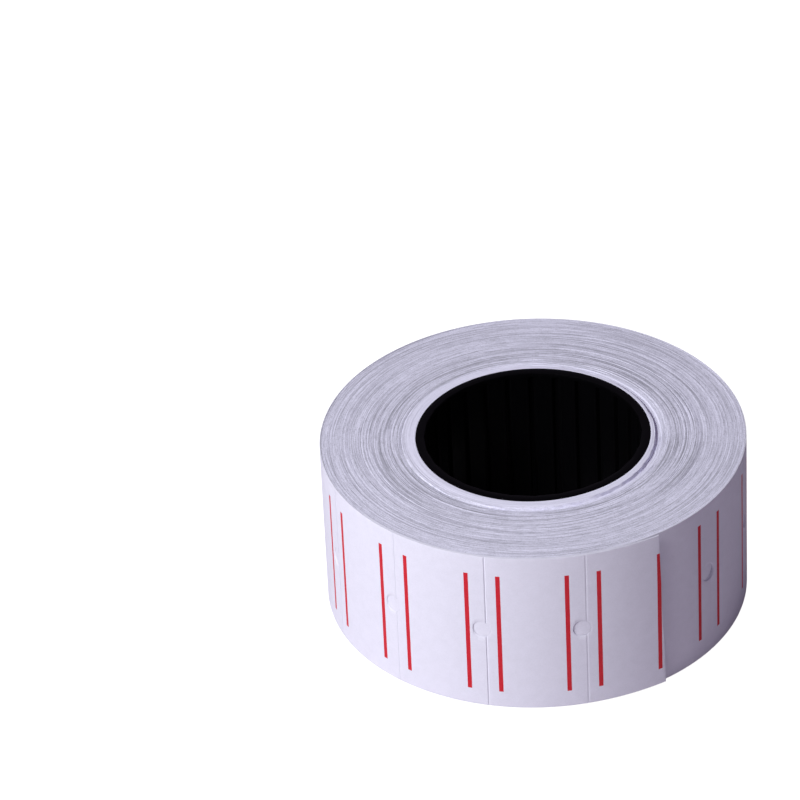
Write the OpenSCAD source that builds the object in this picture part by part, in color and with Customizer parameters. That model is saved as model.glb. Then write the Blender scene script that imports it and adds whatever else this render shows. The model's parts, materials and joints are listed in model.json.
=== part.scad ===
// Roll of self-adhesive price labels for a one-line hand labeller.
// The labels sit on one continuous liner, which is wound on a ribbed plastic core.
// The roll lies flat: its axis is +Z and its lower side rests on z = 0.

/* [Label web] */
// Width of the web, which is also the length of a label's long side
web_w = 21.5; // [18:0.5:26]
// Distance from one cut to the next along the web
label_pitch = 11.9; // [11:0.1:14]
// Thickness of a label's face paper
label_t = 0.07; // [0.06:0.005:0.1]
// Thickness of the glue film between a label and the liner, left open
glue_t = 0.02; // [0.015:0.005:0.03]
// Thickness of the liner
liner_t = 0.06; // [0.05:0.005:0.08]
// Air between two turns of the web
air_t = 0.02; // [0.02:0.005:0.04]
// Width of the knife cut between two labels
cut_w = 0.05; // [0.02:0.01:0.1]

/* [Roll] */
// Radius of the outermost turn
roll_r = 25.65; // [23:0.05:32]
// Direction of the web's free end, counter-clockwise from +X
free_end_deg = 305; // [290:1:330]
// Length of the first label, cut short at the free end
first_label_l = 10.05; // [8:0.05:11]
// Radius that the loose end relaxes to
loose_r = 34; // [30:1:90]

/* [Feed discs] */
// Diameter of the round cut on each label cut
disc_d = 2.2; // [1.5:0.1:3]
// Distance of a disc's centre from its label cut, towards the core end
disc_shift = 0.46; // [0:0.02:0.6]
// Gap all round a disc
disc_gap = 0.03; // [0.02:0.01:0.06]

/* [Core] */
// Outer radius of the core's wall
core_r = 14.1; // [12:0.1:16]
// Radius of the bore, measured on its lands
bore_r = 12.95; // [11:0.05:13]
// Height that the core stands proud of the web at each end
core_proud = 0.2; // [0.15:0.05:0.5]
// Number of drive grooves in the bore
groove_count = 28; // [20:1:32]
// Width of a drive groove
groove_w = 0.6; // [0.4:0.05:0.65]
// Depth of a drive groove
groove_d = 0.45; // [0.2:0.05:0.6]
// Height of the plain rim above the grooves
plain_rim_h = 0.6; // [0.4:0.1:2]
// Reach of each small nib that keeps the web on the core
nib_reach = 0.15; // [0.1:0.05:0.5]
// Reach of the one larger lug
lug_reach = 0.8; // [0.5:0.1:1.2]
// Width of the larger lug
lug_w = 1.3; // [0.8:0.1:2]

/* [Hidden] */
$fn = 96;
TAIL_LINKS = 3;
LABELS = 17;
DISCS = 16;
// cuts 1 to 13 are on the outermost turn, and 14 to 16 lie under the loose tail
OUTER_DISCS = 13;

web_t = label_t + glue_t + liner_t;
turn_t = web_t + air_t;
core_l = web_w + 2 * core_proud;
pitch_deg = arc_deg(label_pitch, roll_r);
shift_deg = arc_deg(disc_shift, roll_r);
half_cut_deg = arc_deg(cut_w / 2, roll_r);

// One turn of the spiral is two half circles. The first has its centre on the axis, and the
// second has its centre half a turn's thickness away, so that each turn ends one turn lower.
// They overlap a little where they meet, with a small step, so that the solids have clean faces.
join_deg = free_end_deg - 180;
turn_end_deg = free_end_deg - 360;
join_step = 0.006;
join_overlap_deg = 0.2;
// Distance from the core's rim to the outer side of a nib
nib_drop = 0.03;
second_centre = (turn_t / 2 - join_step) * direction(join_deg);
lug_deg = (round(join_deg * groove_count / 360) + 0.5) * 360 / groove_count;

function arc_deg(length, radius) = length / radius * 180 / PI;
function direction(deg) = [cos(deg), sin(deg)];
function numbered(name, i) = str(name, i < 10 ? "0" : "", i);
// Cut k, counted from the free end. Cut 0 stands for the free end itself.
function cut_deg(k) = free_end_deg - arc_deg(first_label_l, roll_r) - (k - 1) * pitch_deg;

// Plan of a ring's sector, from one direction to another, between two radii.
module ring_sector(from_deg, to_deg, inner_r, outer_r) {
    reach = 3 * outer_r;
    steps = ceil((to_deg - from_deg) / 60);
    intersection() {
        difference() {
            circle(r = outer_r);
            circle(r = inner_r);
        }
        polygon(concat(
            [[0, 0]],
            [for (i = [0:steps]) reach * direction(from_deg + (to_deg - from_deg) * i / steps)]
        ));
    }
}

// The part of a web layer's plan that falls within one half circle of the spiral.
module half_turn(low_deg, high_deg, outer_r, from_deg, to_deg, from_depth, to_depth) {
    start = max(low_deg, from_deg);
    end = min(high_deg + join_overlap_deg, to_deg);
    if (min(high_deg, to_deg) > start)
        ring_sector(start, end, outer_r - to_depth, outer_r - from_depth);
}

// A layer of the wound web, between two depths under the web's outer surface.
module web_layer(from_deg, to_deg, from_depth, to_depth) {
    translate([0, 0, core_proud])
        linear_extrude(web_w) {
            half_turn(join_deg, free_end_deg, roll_r, from_deg, to_deg, from_depth, to_depth);
            translate(second_centre)
                half_turn(
                    turn_end_deg, join_deg, roll_r - turn_t / 2, from_deg, to_deg, from_depth, to_depth
                );
            half_turn(
                turn_end_deg - 180, turn_end_deg, roll_r - turn_t, from_deg, to_deg, from_depth, to_depth
            );
        }
}

// A layer of the loose end, which bends less than the roll from the first cut on.
module loose_layer(from_l, to_l, from_depth, to_depth) {
    translate([0, 0, core_proud])
        linear_extrude(web_w)
            translate((roll_r - loose_r) * direction(cut_deg(1)))
                ring_sector(
                    cut_deg(1) + arc_deg(from_l, loose_r),
                    cut_deg(1) + arc_deg(to_l, loose_r),
                    loose_r - to_depth,
                    loose_r - from_depth
                );
}

// Radial cylinder on cut k, through the two outermost turns.
module feed_hole(k, diameter) {
    rotate([0, 0, cut_deg(k) - shift_deg])
        translate([roll_r - 3 * turn_t, 0, core_proud + web_w / 2])
            rotate([0, 90, 0])
                cylinder(d = diameter, h = 6 * turn_t);
}

module core() {
    color([0.05, 0.05, 0.055])
        difference() {
            union() {
                cylinder(r = core_r, h = core_l);
                core_nibs();
            }
            translate([0, 0, -1])
                cylinder(r = bore_r, h = core_l + 2);
            drive_grooves();
        }
}

// The grooves are open at the lower end and stop below the upper rim.
module drive_grooves() {
    for (i = [0:groove_count - 1])
        rotate([0, 0, i * 360 / groove_count])
            translate([bore_r - 1, -groove_w / 2, -1])
                cube([1 + groove_d, groove_w, core_l - plain_rim_h + 1]);
}

// Small nibs round the lower rim, one over each groove, and one larger lug. The upper rim is plain.
module core_nibs() {
    nib_h = core_proud - nib_drop;
    for (i = [0:groove_count - 1])
        rotate([0, 0, i * 360 / groove_count])
            translate([core_r - 0.5, -groove_w / 2, nib_drop])
                cube([0.5 + nib_reach, groove_w, nib_h]);
    rotate([0, 0, lug_deg])
        translate([core_r - 0.5, -lug_w / 2, nib_drop])
            cube([0.5 + lug_reach, lug_w, nib_h]);
}

// All the turns below the outermost one, as one ring. Its outer surface follows the spiral, and
// it has a pocket for the labels and discs that the loose tail covers.
module wound_web() {
    color([0.86, 0.85, 0.88])
        difference() {
            translate([0, 0, core_proud])
                linear_extrude(web_w)
                    wound_plan();
            web_layer(cut_deg(LABELS), turn_end_deg, -air_t / 2, label_t + glue_t);
            for (k = [OUTER_DISCS + 1:DISCS])
                intersection() {
                    feed_hole(k, disc_d);
                    web_layer(cut_deg(k + 1), cut_deg(k - 1), 0, turn_t);
                }
        }
}

module wound_plan() {
    difference() {
        union() {
            ring_sector(join_deg, free_end_deg, 1, roll_r - turn_t);
            translate(second_centre)
                ring_sector(turn_end_deg, join_deg + join_overlap_deg, 1, roll_r - 1.5 * turn_t);
        }
        circle(r = core_r + air_t);
    }
}

module liner(first_cut, last_cut) {
    color([0.80, 0.78, 0.72])
        difference() {
            children();
            for (k = [first_cut:last_cut])
                feed_hole(k, disc_d);
        }
}

// The liner of the outermost turn, from the tail's first bend to the end of the turn.
module liner_wrap() {
    liner(TAIL_LINKS, OUTER_DISCS)
        web_layer(turn_end_deg, cut_deg(TAIL_LINKS) - half_cut_deg, label_t + glue_t, web_t);
}

// The liner of the loose tail, in links that bend at the label cuts.
module liner_tail(i) {
    liner(max(i - 1, 1), i) {
        if (i == 1)
            loose_layer(cut_w / 2, first_label_l, label_t + glue_t, web_t);
        else
            web_layer(
                cut_deg(i) + half_cut_deg,
                cut_deg(i - 1) - half_cut_deg,
                label_t + glue_t,
                web_t
            );
    }
}

module label(i) {
    color([0.94, 0.93, 0.97])
        difference() {
            if (i == 1)
                loose_layer(cut_w / 2, first_label_l, 0, label_t);
            else
                web_layer(cut_deg(i) + half_cut_deg, cut_deg(i - 1) - half_cut_deg, 0, label_t);
            for (k = [max(i - 1, 1):min(i, DISCS)])
                feed_hole(k, disc_d);
        }
}

// A disc cut through label and liner. It stays in the web until a feed tooth pushes it out.
module feed_disc(k) {
    color([0.97, 0.96, 0.99])
        intersection() {
            feed_hole(k, disc_d - 2 * disc_gap);
            web_layer(cut_deg(k + 1), cut_deg(k - 1), 0, web_t);
        }
}

core();
wound_web();
liner_wrap();
for (i = [1:TAIL_LINKS])
    liner_tail(i);
for (i = [1:LABELS])
    label(i);
for (k = [1:DISCS])
    feed_disc(k);
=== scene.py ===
"""Looks for a roll of price labels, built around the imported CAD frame.

Lengths here are millimetres until a mesh is made, which turns them into metres.
The web is described by s, the length along it from the first label cut: it grows
towards the free end and is negative on the way to the core.
"""
import json
import math

import bpy
from mathutils import Matrix, Vector, noise


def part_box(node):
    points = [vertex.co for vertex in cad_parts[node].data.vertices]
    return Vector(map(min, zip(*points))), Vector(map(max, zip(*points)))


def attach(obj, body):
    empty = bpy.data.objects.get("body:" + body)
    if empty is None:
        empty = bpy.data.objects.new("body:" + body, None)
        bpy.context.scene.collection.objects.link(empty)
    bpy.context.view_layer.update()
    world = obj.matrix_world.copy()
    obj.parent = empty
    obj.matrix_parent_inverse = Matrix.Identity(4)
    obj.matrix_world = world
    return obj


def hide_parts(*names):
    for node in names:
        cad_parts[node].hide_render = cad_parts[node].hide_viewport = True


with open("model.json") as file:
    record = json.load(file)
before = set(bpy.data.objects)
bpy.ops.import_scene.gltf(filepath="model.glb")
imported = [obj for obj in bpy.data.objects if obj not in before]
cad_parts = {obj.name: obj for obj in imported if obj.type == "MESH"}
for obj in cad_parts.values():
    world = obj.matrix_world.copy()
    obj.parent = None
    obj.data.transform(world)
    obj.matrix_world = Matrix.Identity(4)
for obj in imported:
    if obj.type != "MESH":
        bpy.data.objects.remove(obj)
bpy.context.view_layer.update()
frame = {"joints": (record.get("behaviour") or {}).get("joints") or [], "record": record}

MM = 0.001
RECORD = frame["record"]
BODIES = RECORD["behaviour"]["bodies"]
BODY_OF = {node: body for body, nodes in BODIES.items() for node in nodes}


# ---------------------------------------------------------------- sizes
def joint_point(name):
    """Where a joint's axis stands, in millimetres from the roll's axis."""
    joint = next(j for j in frame["joints"] if j["name"] == name)
    return joint["pos_m"][0] / MM, joint["pos_m"][1] / MM


def height_range(node):
    low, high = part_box(node)
    return low.z / MM, high.z / MM


CUT_1_XY = joint_point("tail_bend_1")
CUT_2_XY = joint_point("tail_bend_2")
CUT_1 = math.atan2(CUT_1_XY[1], CUT_1_XY[0])
ROLL_R = math.hypot(*CUT_1_XY)
PITCH = (CUT_1 - math.atan2(CUT_2_XY[1], CUT_2_XY[0])) * ROLL_R
WEB_LOW, WEB_HIGH = height_range("wound_web")
WEB_W = WEB_HIGH - WEB_LOW
CORE_LOW, CORE_HIGH = height_range("core")
BORE_R = next(m for m in RECORD["mounts"] if m["name"] == "core_bore")["dims"]["r_mm"]

LABELS = 17
DISCS = 16
TAIL_LINKS = 3
FREE_L = 9.98                 # from the first cut to the free end, along the lower edge
FREE_SLANT = 0.68             # how much shorter the upper edge was torn
LOOSE_R = 34.0                # radius of the sprung first label
TAIL_CLIMB = 0.19             # how far the free end has crept up
LABEL_T = 0.07
LINER_TOP = 0.09              # depth of the liner under the labels' faces
WEB_T = 0.15                  # label, glue and liner together
TURN_T = 0.17                 # one turn of the web, with its air
TURN_L = 2 * math.pi * ROLL_R
CUT_W = 0.008                 # width of the knife cut between two labels
DISC_R = 1.04
DISC_SHIFT = 0.46             # a disc's centre from its cut, towards the core end
DISC_GAP = 0.012              # gap all round a disc
DISC_T = 0.12
CORE_R = 14.1
GROOVES = 28
GROOVE_W = 0.6
GROOVE_D = 0.45


def cut_s(k):
    return -(k - 1) * PITCH


def smooth(x):
    x = min(1.0, max(0.0, x))
    return x * x * (3 - 2 * x)


def wave(*place):
    """Smooth noise from -1 to 1."""
    return noise.noise(Vector(place))


# widths that the grid of a sheet has to follow
HOLE_RIM_W = 0.14                      # pressed rim round a feed disc
CURL_W = 0.26                          # bent strip at the start of a label


# ---------------------------------------------------------------- meshes
def web_point(s, depth, z):
    """A point of the web, depth under its outer surface."""
    if s > 0:
        turn = CUT_1 + s / LOOSE_R
        arm = LOOSE_R - depth
        far = ROLL_R - LOOSE_R
        return (far * math.cos(CUT_1) + arm * math.cos(turn),
                far * math.sin(CUT_1) + arm * math.sin(turn),
                z + TAIL_CLIMB * (s / FREE_L) ** 2)
    turn = CUT_1 + s / ROLL_R
    radius = ROLL_R + TURN_T * s / TURN_L - depth
    return radius * math.cos(turn), radius * math.sin(turn), z


def make_piece(name, node, vertices, faces, tones, materials, crease=35):
    """A mesh object in metres that stands for a CAD node and rides on its body."""
    mesh = bpy.data.meshes.new(name)
    mesh.from_pydata([(x * MM, y * MM, z * MM) for x, y, z in vertices], [], faces)
    for material in materials:
        mesh.materials.append(material)
    if tones:
        mesh.polygons.foreach_set("material_index", tones)
    mesh.validate()
    mesh.shade_smooth()
    mesh.set_sharp_from_angle(angle=math.radians(crease))
    piece = bpy.data.objects.new(name, mesh)
    bpy.context.scene.collection.objects.link(piece)
    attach(piece, BODY_OF[node])
    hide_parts(node)
    return piece


def half_chord(offset, radius):
    return math.sqrt(radius * radius - offset * offset) if abs(offset) < radius else 0.0


def merged(values, least=0.004):
    kept = []
    for value in sorted(values):
        if not kept or value - kept[-1] > least:
            kept.append(value)
    return kept


def thick_sheet(front, cells, place):
    """Closes a sheet: front is a list of (s, z), place(s, z, side) gives the point."""
    count = len(front)
    vertices = [place(s, z, 0) for s, z in front] + [place(s, z, 1) for s, z in front]
    faces, tones, rim = [], [], {}
    for cell, tone in cells:
        faces.append(tuple(cell))
        tones.append(tone)
        faces.append(tuple(i + count for i in reversed(cell)))
        tones.append(0)
        for a, b in zip(cell, cell[1:] + cell[:1]):
            if (b, a) in rim:
                del rim[(b, a)]
            else:
                rim[(a, b)] = True
    for a, b in rim:
        faces.append((b, a, a + count, b + count))
        tones.append(0)
    return vertices, faces, tones


def free_end(z):
    """Where the torn free end lies at a height z above the web's lower edge."""
    return FREE_L - FREE_SLANT * z / WEB_W


START_COLUMNS = (0.0, 0.03, 0.08, 0.13, 0.18, CURL_W)
END_COLUMNS = (0.12, 0.03, 0.0)
COLUMN_STEP = 0.8                      # widest column between the close ones at the ends
HOLE_STEPS = 16                        # columns across a disc's hole
ROW_STEPS = 12                         # rows between a line's end and a disc's rim


def sheet_grid(start, end, discs, lines, bands, torn):
    """Columns along the web and rows up it, with a round hole for each of the discs."""
    hole_r = DISC_R + DISC_GAP
    rim_r = hole_r + HOLE_RIM_W
    columns = [start + off for off in START_COLUMNS]
    columns += [end - off for off in END_COLUMNS]
    steps = max(2, round((end - start) / COLUMN_STEP))
    columns += [start + (end - start) * i / steps for i in range(1, steps)]
    for centre, half in lines:
        columns += [centre - half, centre + half]
    for number in discs:
        for radius in (hole_r, rim_r):
            for i in range(HOLE_STEPS + 1):
                s = cut_s(number) - DISC_SHIFT - radius * math.cos(math.pi * i / HOLE_STEPS)
                if start < s < end:
                    columns.append(s)
    columns = merged(columns)
    columns[-1] = end
    low, high = bands
    front, index, cells = [], {}, []

    def row_heights(s):
        centre, height = nearest_disc(s, discs)[1:]
        inner = half_chord(s - centre, hole_r)
        outer = max(inner, half_chord(s - centre, rim_r))
        up = [0.0, 0.04, 0.15, low / 2, low]
        up += [low + (height - outer - low) * i / ROW_STEPS for i in range(1, ROW_STEPS + 1)]
        up += [height - inner]
        down = [height + inner]
        down += [height + outer + (high - height - outer) * i / ROW_STEPS
                 for i in range(ROW_STEPS + 1)]
        down += [(high + WEB_W) / 2, WEB_W - 0.15, WEB_W - 0.04, WEB_W]
        return up + down

    def corner(s, z):
        if torn:
            s = min(s, free_end(z))
        key = (round(s, 5), round(z, 5))
        if key not in index:
            index[key] = len(front)
            front.append((s, WEB_LOW + z))
        return index[key]

    table = [[corner(s, z) for z in row_heights(s)] for s in columns]
    heights = len(table[0])
    middle = heights // 2 - 1
    printed_from, printed_to = 4, heights - 5
    for j in range(len(columns) - 1):
        mid = (columns[j] + columns[j + 1]) / 2
        inked = any(abs(mid - centre) < half for centre, half in lines)
        for i in range(heights - 1):
            if i == middle:
                continue
            cell = [table[j][i], table[j + 1][i], table[j + 1][i + 1], table[j][i + 1]]
            unique = [c for n, c in enumerate(cell) if c != cell[n - 1]]
            if len(unique) > 2:
                cells.append((unique, 1 if inked and printed_from <= i < printed_to else 0))
    return front, cells


# ---------------------------------------------------------------- the labels
LINE_HALF = 0.272                      # half the width of a printed line
LINE_BEFORE, LINE_AFTER = 2.2, 1.62    # line centres from the cut, on either side of it
LAST_LINE = 9.26                       # centre of the line by the free end
PRINT_LOW, PRINT_HIGH = 2.2, 2.6       # bare margins below and above the lines
RIM_DEPTH, RIM_LEAST = 0.13, 0.15      # its greatest depth, and the least as a share of that
PRESS_FLOOR = 0.162                    # depth that pressing doesn't reach: the turn below is there
COVERED_FROM = 14                      # the first label that lies under the loose tail
RISE, RISE_SPREAD = 0.014, 0.01        # how far a label's ends lift, and how much that varies
CURL, CURL_SPREAD = 0.045, 0.025       # how far its start dips at the cut, and how much that varies
SOFT_EDGE, SOFT_EDGE_W = 0.014, 0.06   # rounding of its other edges
SURFACE_WAVE = 0.006                   # waviness of its face
SWAY, SWAY_INSET = 0.006, 0.4          # waviness of its lines, and the plain border outside it


def print_drift(number):
    """How far a label's print and disc stand above their usual height."""
    steady = 0.2 * (1 - math.cos(cut_s(number) / TURN_L * math.pi * 0.95))
    return steady - 0.05 * wave(number * 1.7, 2.3, 0.0)


def disc_height(number):
    """Height of a disc's centre above the web's lower edge."""
    return WEB_W / 2 + 0.3 + 1.6 * print_drift(number)


def lateness(number):
    """0 for the discs on the tail, rising to 1 for those further round the roll."""
    return smooth((number - 4) / 8)


def press_scale(number):
    """How much harder the discs further back were pressed in than those on the tail."""
    return 1 + 0.9 * lateness(number)


def pressed(number, u, v):
    """Depth of a disc's pressed rim at a place round its centre, most at one side."""
    later = lateness(number)
    deepest = math.radians(195 + 120 * later)
    near = ((1 + math.cos(math.atan2(v, u) - deepest)) / 2) ** (2.5 - 1.4 * later)
    return press_scale(number) * RIM_DEPTH * (RIM_LEAST + (1 - RIM_LEAST) * near)


def thinned(number, depth, press):
    """Depth of a layer under a pressed face: the layers thin, and don't pass the floor."""
    return press + depth * (1 - press / (PRESS_FLOOR * press_scale(number)))


def nearest_disc(s, discs):
    """The disc nearest to s: its number, and its centre's s and height."""
    number = min(discs, key=lambda k: abs(cut_s(k) - DISC_SHIFT - s))
    return number, cut_s(number) - DISC_SHIFT, disc_height(number)


def rim_depth(s, high, discs, depth):
    """Depth of a layer, which changes in the pressed rim round the nearest disc."""
    number, centre, height = nearest_disc(s, discs)
    u, v = s - centre, high - height
    away = math.hypot(u, v) - DISC_R - DISC_GAP
    if away > HOLE_RIM_W:
        return depth
    press = pressed(number, u, v) * (1 - max(0.0, away) / HOLE_RIM_W)
    return thinned(number, depth, press)


def make_label(number, materials):
    """Label number spans cut number to the one before it, or to the free end."""
    start = cut_s(number) + CUT_W / 2
    last = number == 1
    end = FREE_L if last else cut_s(number - 1) - CUT_W / 2
    discs = [k for k in (number, number - 1) if 1 <= k <= DISCS]
    lines = [(cut_s(number) + LINE_AFTER, LINE_HALF)]
    lines.append((LAST_LINE if last else cut_s(number - 1) - LINE_BEFORE, LINE_HALF))
    drift = print_drift(number)
    bands = (PRINT_LOW + drift, WEB_W - PRINT_HIGH + drift)
    front, cells = sheet_grid(start, end, discs, lines, bands, last)
    rise = 0.0
    if number < COVERED_FROM:
        rise = RISE + RISE_SPREAD * wave(number * 2.9, 8.1, 0.0)
    curl = CURL + CURL_SPREAD * math.cos((number - 2) * 2.1)

    def place(s, z, side):
        high = z - WEB_LOW
        right = (free_end(high) if last else end) - s
        left = s - start
        lift = 0.7 * rise * math.exp(-max(0.0, left) / 0.5)
        lift += 0.0 if last else rise * math.exp(-max(0.0, right) / 0.35)
        lift += SURFACE_WAVE * wave(s * 0.35, z * 0.3, number)
        depth = rim_depth(s, high, discs, LABEL_T * side - lift)
        if side == 0:
            depth += curl * smooth(1 - left / CURL_W)
            depth += SOFT_EDGE * smooth(1 - min(right, high, WEB_W - high) / SOFT_EDGE_W)
        edge = min(left, right, high, WEB_W - high)
        sway = SWAY * wave(z * 0.9, s * 0.2, 7.0) if SWAY_INSET < edge else 0.0
        return web_point(s + sway, depth, z)

    vertices, faces, tones = thick_sheet(front, cells, place)
    node = "label_%02d" % number
    make_piece("printed_" + node, node, vertices, faces, tones, materials)


def make_liner(name, node, start, end, discs, torn, material):
    """A strip of the liner, cut through round each feed disc."""
    bands = (PRINT_LOW, WEB_W - PRINT_HIGH)
    front, cells = sheet_grid(start, end, discs, [], bands, torn)

    def place(s, z, side):
        depth = WEB_T if side else LINER_TOP
        return web_point(s, rim_depth(s, z - WEB_LOW, discs, depth), z)

    vertices, faces, tones = thick_sheet(front, cells, place)
    make_piece(name, node, vertices, faces, tones, [material])


# ---------------------------------------------------------------- the feed discs
DISH = 0.45                            # depth of a disc's middle, as a share of the rim's


def make_disc(number, material):
    """The disc cut through label and liner on a label cut, pushed in a little unevenly."""
    centre = cut_s(number) - DISC_SHIFT
    sink = 0.004 + 0.006 * wave(number * 1.9, 4.5, 0.0)
    rings = [(0.45, 0.0), (0.8, 0.0), (0.95, 0.002), (1.0, 0.01)]
    around = 48
    flat = [(0.0, 0.0, 0.0)]
    for share, drop in rings:
        for i in range(around):
            turn = 2 * math.pi * i / around
            flat.append((share * DISC_R * math.cos(turn), share * DISC_R * math.sin(turn), drop))

    def place(u, v, drop, side):
        share = math.hypot(u, v) / DISC_R
        depth = sink + share * pressed(number, u, v) + (1 - share) * DISH * RIM_DEPTH
        depth = depth + drop if side == 0 else thinned(number, DISC_T, depth)
        return web_point(centre + u, depth, WEB_LOW + disc_height(number) + v)

    count = len(flat)
    vertices = [place(u, v, d, 0) for u, v, d in flat] + [place(u, v, d, 1) for u, v, d in flat]
    faces = []
    for i in range(around):
        j = (i + 1) % around
        faces.append((0, 1 + i, 1 + j))
        faces.append((count, count + 1 + j, count + 1 + i))
        for ring in range(len(rings) - 1):
            a = 1 + ring * around
            b = a + around
            faces.append((a + i, b + i, b + j, a + j))
            faces.append((count + a + j, count + b + j, count + b + i, count + a + i))
        rim = 1 + (len(rings) - 1) * around
        faces.append((rim + i, count + rim + i, count + rim + j, rim + j))
    node = "feed_disc_%02d" % number
    make_piece("punched_" + node, node, vertices, faces, None, [material])


# ---------------------------------------------------------------- the wound web
WRAP_START = cut_s(LABELS)              # where the modelled outer turns begin
TURN_STEPS = 300
RELIEF = 0.045                          # how far the turns' edges wander
PROUD_H = 0.14                          # how far the first turns on the core stand proud
PROUD_W, PROUD_SWAY = 1.1, 0.6          # width of that band, and how far it varies round the roll
CLIMB_W, CLIMB_STEPS = 1.4, 4           # the groove beside it climbs outwards over this width
FLAT_FROM, FLAT_OVER = 21, 4            # from here outwards the turns lie flatter
TURN_INSET = 0.022                      # the air between two turns, seen as a fine groove


def edge_height(radius, turn, lap, side):
    """How far an edge of the web stands above (+) or below the mean end face."""
    x, y = math.cos(turn), math.sin(turn)
    wander = wave(x * 1.1 + side * 9, y * 1.1, radius * 1.3)
    steps = wave(x * 0.9, y * 0.9 + side * 5, lap * 0.9)
    single = wave(x * 0.7, y * 0.7 + side * 3, lap * 2.3 + 40)
    height = RELIEF * (0.8 * wander + 0.8 * steps + 0.8 * single)
    # the first turns on the core stand proud of a groove that climbs outwards in steps
    step_r = CORE_R + PROUD_W + PROUD_SWAY * math.cos(turn - math.radians(205))
    height += PROUD_H * smooth((step_r - radius) / 0.1 + 0.5)
    climb = (radius - step_r) / CLIMB_W
    if 0 < climb < 1:
        height -= (0.17 + 0.15 * x) * (1 - math.floor(CLIMB_STEPS * climb) / CLIMB_STEPS)
    # the outer turns were wound tighter and lie flatter
    return height * (1 - 0.45 * smooth((radius - FLAT_FROM) / FLAT_OVER)) - 0.02


def make_web(material):
    outer_r = ROLL_R + TURN_T * WRAP_START / TURN_L - TURN_T - 0.004
    laps = round((outer_r - CORE_R) / TURN_T)
    lap_t = (outer_r - CORE_R - 0.01) / laps
    first_turn = CUT_1 + WRAP_START / ROLL_R
    stations = 2 * laps + 1
    vertices, faces = [], []

    def height_of(j, k, side):
        share = j / TURN_STEPS
        radius = outer_r + lap_t * share - lap_t * k / 2
        turn = first_turn + 2 * math.pi * share
        height = edge_height(radius, turn, k / 2 - share, side)
        if k % 2 == 0:
            height -= TURN_INSET
        return max(CORE_R + 0.005, radius), turn, height

    for j in range(TURN_STEPS + 1):
        for k in range(stations):
            for side in (0, 1):
                radius, turn, height = height_of(j, k, side)
                if k == stations - 1:
                    radius = CORE_R + 0.005
                z = WEB_HIGH + height if side == 0 else WEB_LOW - height
                vertices.append((radius * math.cos(turn), radius * math.sin(turn), z))

    def at(j, k, side):
        return (j * stations + k) * 2 + side

    for j in range(TURN_STEPS):
        for k in range(stations - 1):
            faces.append((at(j, k, 0), at(j + 1, k, 0), at(j + 1, k + 1, 0), at(j, k + 1, 0)))
            faces.append((at(j, k + 1, 1), at(j + 1, k + 1, 1), at(j + 1, k, 1), at(j, k, 1)))
        last = stations - 1
        faces.append((at(j, 0, 0), at(j, 0, 1), at(j + 1, 0, 1), at(j + 1, 0, 0)))
        faces.append((at(j, last, 1), at(j, last, 0), at(j + 1, last, 0), at(j + 1, last, 1)))
    for j, flip in ((0, False), (TURN_STEPS, True)):
        for k in range(stations - 1):
            ring = [at(j, k, 0), at(j, k + 1, 0), at(j, k + 1, 1), at(j, k, 1)]
            faces.append(tuple(reversed(ring)) if flip else tuple(ring))
    make_piece("wound_turns", "wound_web", vertices, faces, None, [material],
               crease=60)


# ---------------------------------------------------------------- the core
NIB_W, NIB_REACH, NIB_LOW = 0.6, 0.15, 0.03
PLAIN_RIM_H = 0.6                       # the grooves stop this far under the upper rim
LUG_W, LUG_REACH, LUG_TURN = 1.3, 0.8, math.radians(135)


def bore_radius(turn, groove_d):
    """Radius of the ribbed bore: flat lands between rounded grooves."""
    step = 2 * math.pi / GROOVES
    off = abs((turn + step / 2) % step - step / 2) * BORE_R
    wall = smooth((GROOVE_W / 2 + 0.06 - off) / 0.12)
    land = BORE_R / math.cos(min(step / 2, abs((turn % step) - step / 2)))
    return land + groove_d * wall


def rounded_tab(vertices, faces, turn, reach, width, low, high):
    """A small tab that grips the web, with its outer corners rounded."""
    inner = CORE_R - 0.35
    corner = min(width * 0.3, reach * 0.6)
    plan = [(inner, -width / 2), (CORE_R + reach - corner, -width / 2)]
    for i in range(1, 5):
        a = math.pi / 2 * i / 5
        plan.append((CORE_R + reach - corner + corner * math.sin(a),
                     -width / 2 + corner - corner * math.cos(a)))
    plan += [(x, -y) for x, y in reversed(plan)]
    base = len(vertices)
    bevel = 0.03
    for z, shrink in ((low, bevel), (low + bevel, 0), (high - bevel, 0), (high, bevel)):
        for x, y in plan:
            x2 = x - shrink if x > CORE_R else x
            y2 = y - math.copysign(shrink, y)
            vertices.append((x2 * math.cos(turn) - y2 * math.sin(turn),
                             x2 * math.sin(turn) + y2 * math.cos(turn), z))
    n = len(plan)
    for level in range(3):
        for i in range(n):
            a, b = base + level * n + i, base + level * n + (i + 1) % n
            faces.append((a, b, b + n, a + n))
    faces.append(tuple(base + i for i in reversed(range(n))))
    faces.append(tuple(base + 3 * n + i for i in range(n)))


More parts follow.
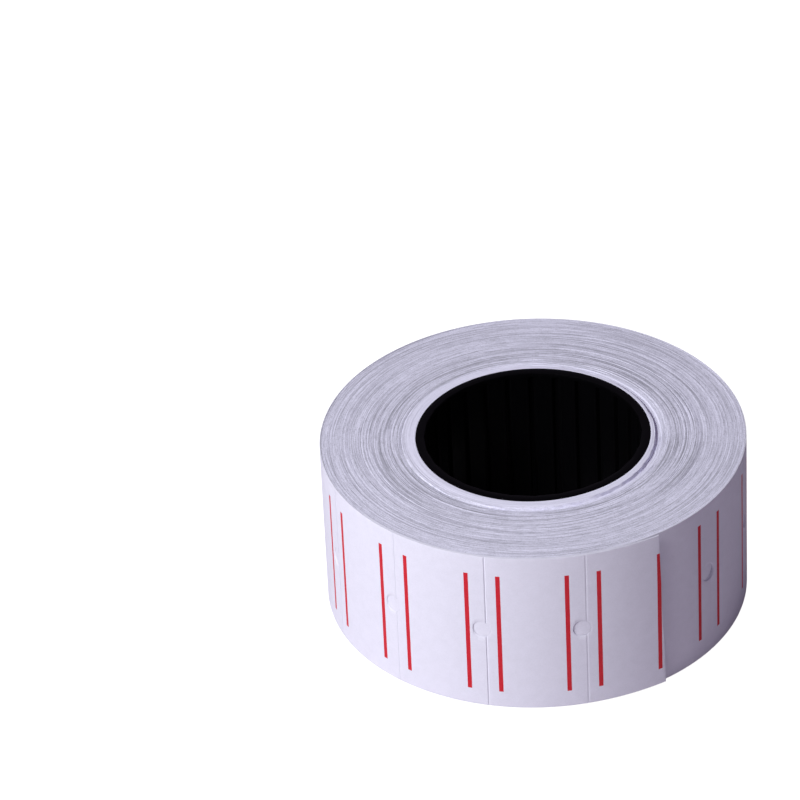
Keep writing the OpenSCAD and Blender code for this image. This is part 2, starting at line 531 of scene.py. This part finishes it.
def make_core(material):
    per_rib = 14
    around = GROOVES * per_rib
    chamfer = 0.12
    low_edge = [(CORE_LOW + chamfer, 0), (CORE_LOW + chamfer * 0.3, 0.3), (CORE_LOW, 1)]
    high_edge = [(CORE_HIGH - chamfer, 0), (CORE_HIGH - chamfer * 0.3, 0.3), (CORE_HIGH, 1)]
    # round the lower rim, up the bore and round the upper rim: surface, height, share of chamfer
    levels = [("wall", z, out) for z, out in low_edge]
    levels += [("bore", z, out) for z, out in reversed(low_edge)]
    levels.append(("bore", CORE_HIGH - PLAIN_RIM_H - 0.1, 0))
    levels.append(("rim", CORE_HIGH - PLAIN_RIM_H, 0))
    levels += [("rim", z, out) for z, out in high_edge]
    levels += [("wall", z, out) for z, out in reversed(high_edge)]
    vertices, faces = [], []
    for kind, z, out in levels:
        for i in range(around):
            turn = 2 * math.pi * i / around
            if kind == "wall":
                radius = CORE_R - chamfer * out
            else:
                radius = bore_radius(turn, GROOVE_D if kind == "bore" else 0.0) + chamfer * out
            vertices.append((radius * math.cos(turn), radius * math.sin(turn), z))
    rows = len(levels)
    for row in range(rows):
        for i in range(around):
            a = row * around + i
            b = row * around + (i + 1) % around
            c = ((row + 1) % rows) * around
            faces.append((a, c + i, c + (i + 1) % around, b))
    low, high = CORE_LOW + NIB_LOW, WEB_LOW
    for rib in range(GROOVES):
        rounded_tab(vertices, faces, 2 * math.pi * rib / GROOVES, NIB_REACH, NIB_W, low, high)
    rounded_tab(vertices, faces, LUG_TURN, LUG_REACH, LUG_W, low, high)
    make_piece("ribbed_core", "core", vertices, faces, None, [material],
               crease=40)


# ---------------------------------------------------------------- materials
class Shader:
    """A material's node tree, with short calls for the nodes used here."""

    def __init__(self, name):
        self.material = bpy.data.materials.new(name)
        self.material.use_nodes = True
        self.tree = self.material.node_tree
        self.bsdf = self.tree.nodes["Principled BSDF"]
        self.place = self.node("ShaderNodeTexCoord").outputs["Object"]

    def node(self, kind, **values):
        made = self.tree.nodes.new(kind)
        for key, value in values.items():
            setattr(made, key, value)
        return made

    def link(self, source, target):
        self.tree.links.new(source, target)

    def maths(self, operation, a, b=None):
        made = self.node("ShaderNodeMath", operation=operation)
        for socket, value in zip(made.inputs, (a, b)):
            if value is None:
                continue
            if isinstance(value, (int, float)):
                socket.default_value = value
            else:
                self.link(value, socket)
        return made.outputs[0]

    def noise(self, scale, detail=2.0, roughness=0.5, place=None):
        made = self.node("ShaderNodeTexNoise")
        self.link(place or self.place, made.inputs["Vector"])
        made.inputs["Scale"].default_value = scale
        made.inputs["Detail"].default_value = detail
        made.inputs["Roughness"].default_value = roughness
        return made.outputs["Fac"]

    def ramp(self, source, stops):
        made = self.node("ShaderNodeValToRGB")
        self.link(source, made.inputs["Fac"])
        stops_made = made.color_ramp.elements
        while len(stops_made) < len(stops):
            stops_made.new(0.5)
        for element, (position, colour) in zip(stops_made, stops):
            element.position = position
            element.color = (*colour, 1) if len(colour) == 3 else colour
        return made.outputs["Color"]

    def blend(self, kind, share, a, b):
        made = self.node("ShaderNodeMix", data_type="RGBA", blend_type=kind)
        inputs = [s for s in made.inputs if s.enabled]
        for socket, value in zip(inputs, (share, a, b)):
            if isinstance(value, (int, float)):
                socket.default_value = value
            elif isinstance(value, tuple):
                socket.default_value = (*value, 1)
            else:
                self.link(value, socket)
        return next(s for s in made.outputs if s.enabled)

    def bump(self, height, strength, distance):
        made = self.node("ShaderNodeBump")
        self.link(height, made.inputs["Height"])
        made.inputs["Strength"].default_value = strength
        made.inputs["Distance"].default_value = distance
        self.link(made.outputs["Normal"], self.bsdf.inputs["Normal"])

    def set(self, **values):
        for key, value in values.items():
            socket = self.bsdf.inputs[key.replace("_", " ")]
            if isinstance(value, (int, float)):
                socket.default_value = value
            elif isinstance(value, tuple):
                socket.default_value = (*value, 1)
            else:
                self.link(value, socket)


def grey(value):
    return (value, value, value)


PAPER = (0.83, 0.825, 0.93)
INK = (0.67, 0.003, 0.018)


def label_material():
    """Matt white face paper, with faint fibre clouds and a fine tooth."""
    made = Shader("label_paper")
    clouds = made.ramp(made.noise(900, 3), [(0.3, grey(0.965)), (0.7, grey(1.0))])
    specks = made.ramp(made.noise(5200, 2), [(0.35, grey(0.975)), (0.6, grey(1.0))])
    tone = made.blend("MULTIPLY", 1.0, clouds, specks)
    made.set(Base_Color=made.blend("MULTIPLY", 1.0, PAPER, tone))
    made.set(Roughness=made.ramp(made.noise(1500), [(0.3, grey(0.52)), (0.7, grey(0.62))]))
    made.set(Specular_IOR_Level=0.35)
    made.bump(made.noise(3600, 3), 0.12, 0.00002)
    return made.material


def ink_material():
    """Matt printed red, slightly mottled, with a trace of sheen."""
    made = Shader("red_ink")
    mottle = made.ramp(made.noise(4200, 3), [(0.3, grey(0.86)), (0.65, grey(1.0))])
    made.set(Base_Color=made.blend("MULTIPLY", 1.0, INK, mottle))
    made.set(Roughness=made.ramp(made.noise(2500), [(0.3, grey(0.78)), (0.7, grey(0.88))]))
    made.set(Specular_IOR_Level=0.45, Sheen_Weight=0.15, Sheen_Roughness=0.5)
    made.bump(made.noise(3600, 3), 0.1, 0.00002)
    return made.material


def liner_material():
    """Glazed liner paper, slightly cream, with a low sheen."""
    made = Shader("liner_paper")
    clouds = made.ramp(made.noise(1200, 3), [(0.3, grey(0.94)), (0.7, grey(1.0))])
    made.set(Base_Color=made.blend("MULTIPLY", 1.0, (0.80, 0.79, 0.89), clouds))
    made.set(Roughness=made.ramp(made.noise(1800), [(0.3, grey(0.32)), (0.7, grey(0.42))]))
    made.set(Specular_IOR_Level=0.5)
    made.bump(made.noise(2600, 2), 0.08, 0.00002)
    return made.material


def edge_material():
    """Cut edges of the wound turns: fine rings of uneven tone, a speckle of fibres, and painted
    shade in darker rings just outside the proud inner turns.
    """
    made = Shader("web_edges")
    parts = made.node("ShaderNodeSeparateXYZ")
    made.link(made.place, parts.inputs[0])
    x, y = parts.outputs[:2]
    radius = made.maths("SQRT", made.maths("ADD", made.maths("MULTIPLY", x, x),
                                           made.maths("MULTIPLY", y, y)))

    def ring_place(across, along):
        made_place = made.node("ShaderNodeCombineXYZ")
        made.link(made.maths("MULTIPLY", made.maths("DIVIDE", x, radius), along),
                  made_place.inputs[0])
        made.link(made.maths("MULTIPLY", made.maths("DIVIDE", y, radius), along),
                  made_place.inputs[1])
        made.link(made.maths("MULTIPLY", radius, across), made_place.inputs[2])
        return made_place.outputs[0]

    bands = made.ramp(made.noise(1.0, 1, place=ring_place(1500, 1.0)),
                      [(0.3, grey(0.90)), (0.7, grey(1.0))])
    rings = made.ramp(made.noise(1.0, 2, place=ring_place(8200, 1.8)),
                      [(0.36, grey(0.72)), (0.52, grey(1.0))])
    dashes = made.ramp(made.noise(1.0, 2, place=ring_place(9500, 16.0)),
                       [(0.36, grey(0.80)), (0.52, grey(1.0))])
    specks = made.ramp(made.noise(8000, 2), [(0.36, grey(0.80)), (0.52, grey(1.0))])
    tone = made.blend("MULTIPLY", 1.0, made.blend("MULTIPLY", 1.0, bands, rings),
                      made.blend("MULTIPLY", 1.0, dashes, specks))
    share = made.maths("MULTIPLY", radius, 1 / (2 * CORE_R * MM))
    # painted shade: darker rings in a band just outside the proud inner turns, standing in for the
    # shade the turns' relief casts there
    painted_shade_lines = made.ramp(made.noise(1.0, 1, place=ring_place(6400, 1.1)),
                           [(0.40, grey(0.58)), (0.46, grey(1.0))])
    painted_shade_mask = made.ramp(share, [(0.555, grey(0.0)), (0.57, grey(1.0)),
                                   (0.65, grey(0.8)), (0.76, grey(0.25))])
    tone = made.blend("MIX", painted_shade_mask, tone, made.blend("MULTIPLY", 1.0, tone, painted_shade_lines))
    inner = made.ramp(share, [(0.535, grey(0.7)), (0.56, grey(0.0))])
    tone = made.blend("MIX", inner, tone, grey(1.0))
    made.set(Base_Color=made.blend("MULTIPLY", 1.0, (0.86, 0.85, 1.0), tone))
    made.set(Roughness=made.ramp(made.noise(2500), [(0.3, grey(0.7)), (0.7, grey(0.85))]))
    made.set(Specular_IOR_Level=0.2)
    made.bump(made.noise(5000, 3), 0.25, 0.00003)
    return made.material


def core_material():
    """Black moulded plastic with a soft shine, fine drag marks and a little paper dust."""
    made = Shader("core_plastic")
    stretch = made.node("ShaderNodeMapping")
    made.link(made.place, stretch.inputs["Vector"])
    stretch.inputs["Scale"].default_value = (1.0, 1.0, 0.12)
    marks = made.noise(4000, 3, place=stretch.outputs["Vector"])
    dust = made.ramp(made.noise(2600, 4, 0.7), [(0.66, grey(0.0)), (0.78, grey(1.0))])
    made.set(Base_Color=made.blend("MIX", dust, (0.0012, 0.0011, 0.0015), (0.006, 0.0057, 0.0063)))
    made.set(Roughness=made.ramp(marks, [(0.3, grey(0.3)), (0.7, grey(0.46))]))
    made.set(Specular_IOR_Level=0.09)
    made.bump(marks, 0.1, 0.00002)
    return made.material


# ---------------------------------------------------------------- stage, lights, camera
CAMERA_AZIMUTH = 1.85                  # degrees round from the front
CAMERA_ELEVATION = 33.8
CAMERA_ROLL = -2.8
CAMERA_DISTANCE = 0.6
CAMERA_LENS = 226.7
CAMERA_AIM = (-0.0157, 0.0276)         # aim point, right of and above the roll's axis and foot

KEY_AZIMUTH, KEY_ELEVATION = -51, 41
KEY_DISTANCE, KEY_SIZE, KEY_POWER = 0.7, 0.30, 4.9
WORLD_LIGHT = (0.140, 0.118, 0.162)


def direction(azimuth, elevation):
    """From the object towards a camera or lamp: azimuth 0 is in front, on -Y."""
    a, e = math.radians(azimuth), math.radians(elevation)
    return Vector((math.sin(a) * math.cos(e), -math.cos(a) * math.cos(e), math.sin(e)))


def make_camera():
    camera = bpy.data.objects.new("camera", bpy.data.cameras.new("camera"))
    bpy.context.scene.collection.objects.link(camera)
    camera.data.lens = CAMERA_LENS
    camera.data.sensor_width = 36
    camera.data.clip_start, camera.data.clip_end = 0.01, 10
    back = direction(CAMERA_AZIMUTH, CAMERA_ELEVATION)
    right = Vector((math.cos(math.radians(CAMERA_AZIMUTH)),
                    math.sin(math.radians(CAMERA_AZIMUTH)), 0))
    up = back.cross(right)
    roll = math.radians(CAMERA_ROLL)
    across = right * math.cos(roll) + up * math.sin(roll)
    upward = up * math.cos(roll) - right * math.sin(roll)
    place = right * CAMERA_AIM[0] + Vector((0, 0, CAMERA_AIM[1])) + back * CAMERA_DISTANCE
    turn = Matrix((across, upward, back)).transposed().to_4x4()
    camera.matrix_world = Matrix.Translation(place) @ turn
    bpy.context.scene.camera = camera


def make_lights():
    light = bpy.data.lights.new("key_light", "AREA")
    light.shape = "SQUARE"
    light.size = KEY_SIZE
    light.energy = KEY_POWER
    light.color = (1.0, 1.02, 1.035)
    key = bpy.data.objects.new("key_light", light)
    bpy.context.scene.collection.objects.link(key)
    towards = direction(KEY_AZIMUTH, KEY_ELEVATION)
    key.location = towards * KEY_DISTANCE + Vector((0, 0, 0.01))
    key.rotation_mode = "QUATERNION"
    key.rotation_quaternion = towards.to_track_quat("Z", "Y")
    key.visible_camera = False
    world = bpy.data.worlds.new("studio")
    world.use_nodes = True
    background = world.node_tree.nodes["Background"]
    background.inputs["Color"].default_value = (*WORLD_LIGHT, 1)
    background.inputs["Strength"].default_value = 1.0
    bpy.context.scene.world = world


def floor_material(name, colour, glow):
    made = Shader(name)
    tone = made.ramp(made.noise(6), [(0.3, grey(0.99)), (0.7, grey(1.0))])
    made.set(Base_Color=made.blend("MULTIPLY", 1.0, colour, tone), Roughness=0.9)
    made.set(Specular_IOR_Level=0.0, Emission_Color=(1.0, 1.0, 1.0), Emission_Strength=glow)
    return made.material


def make_floor():
    """A pale round floor that curves up into a backdrop all round."""
    profile = [(0.0, 0.0), (0.2, 0.0), (0.8, 0.0), (1.4, 0.0)]
    cove = 0.6
    profile += [(1.4 + cove * math.sin(a), cove - cove * math.cos(a))
                for a in (math.pi / 2 * i / 8 for i in range(1, 9))]
    profile.append((2.0, 2.2))
    around = 64
    vertices, faces = [], []
    for radius, z in profile[1:]:
        for i in range(around):
            turn = 2 * math.pi * i / around
            vertices.append((radius * math.cos(turn), radius * math.sin(turn), z))
    for ring in range(len(profile) - 2):
        for i in range(around):
            a, b = ring * around + i, ring * around + (i + 1) % around
            faces.append((a, a + around, b + around, b))
    faces.append(tuple(range(around)))
    for name, colour, glow, drop in (("floor", grey(0.35), 1.0, 0.0),
                                     ("floor_bounce", (0.55, 0.50, 0.55), 0.0, -0.0001)):
        mesh = bpy.data.meshes.new(name)
        shown_faces = faces if name == "floor" else faces[:around] + faces[-1:]
        mesh.from_pydata([(x, y, z + drop) for x, y, z in vertices], [], shown_faces)
        mesh.shade_smooth()
        mesh.materials.append(floor_material(name, colour, glow))
        made = bpy.data.objects.new(name, mesh)
        bpy.context.scene.collection.objects.link(made)
        shown = name == "floor"
        made.visible_camera = shown
        made.visible_diffuse = made.visible_glossy = not shown
        made.visible_shadow = False


# ---------------------------------------------------------------- build
def main():
    make_camera()
    make_lights()
    make_floor()
    label, ink, liner = label_material(), ink_material(), liner_material()
    make_core(core_material())
    make_web(edge_material())
    for number in range(1, LABELS + 1):
        make_label(number, [label, ink])
    make_liner("liner_outer_turn", "liner_wrap", WRAP_START,
               cut_s(TAIL_LINKS) - CUT_W / 2, range(TAIL_LINKS, DISCS + 1), False, liner)
    for link in range(1, TAIL_LINKS + 1):
        start = cut_s(link) + CUT_W / 2
        end = FREE_L if link == 1 else cut_s(link - 1) - CUT_W / 2
        discs = [k for k in (link, link - 1) if k >= 1]
        make_liner("liner_link_%d" % link, "liner_tail_%d" % link, start, end, discs,
                   link == 1, liner)
    for number in range(1, DISCS + 1):
        make_disc(number, label)
    bpy.context.scene.view_settings.view_transform = "Standard"
    bpy.context.scene.view_settings.look = "None"


main()
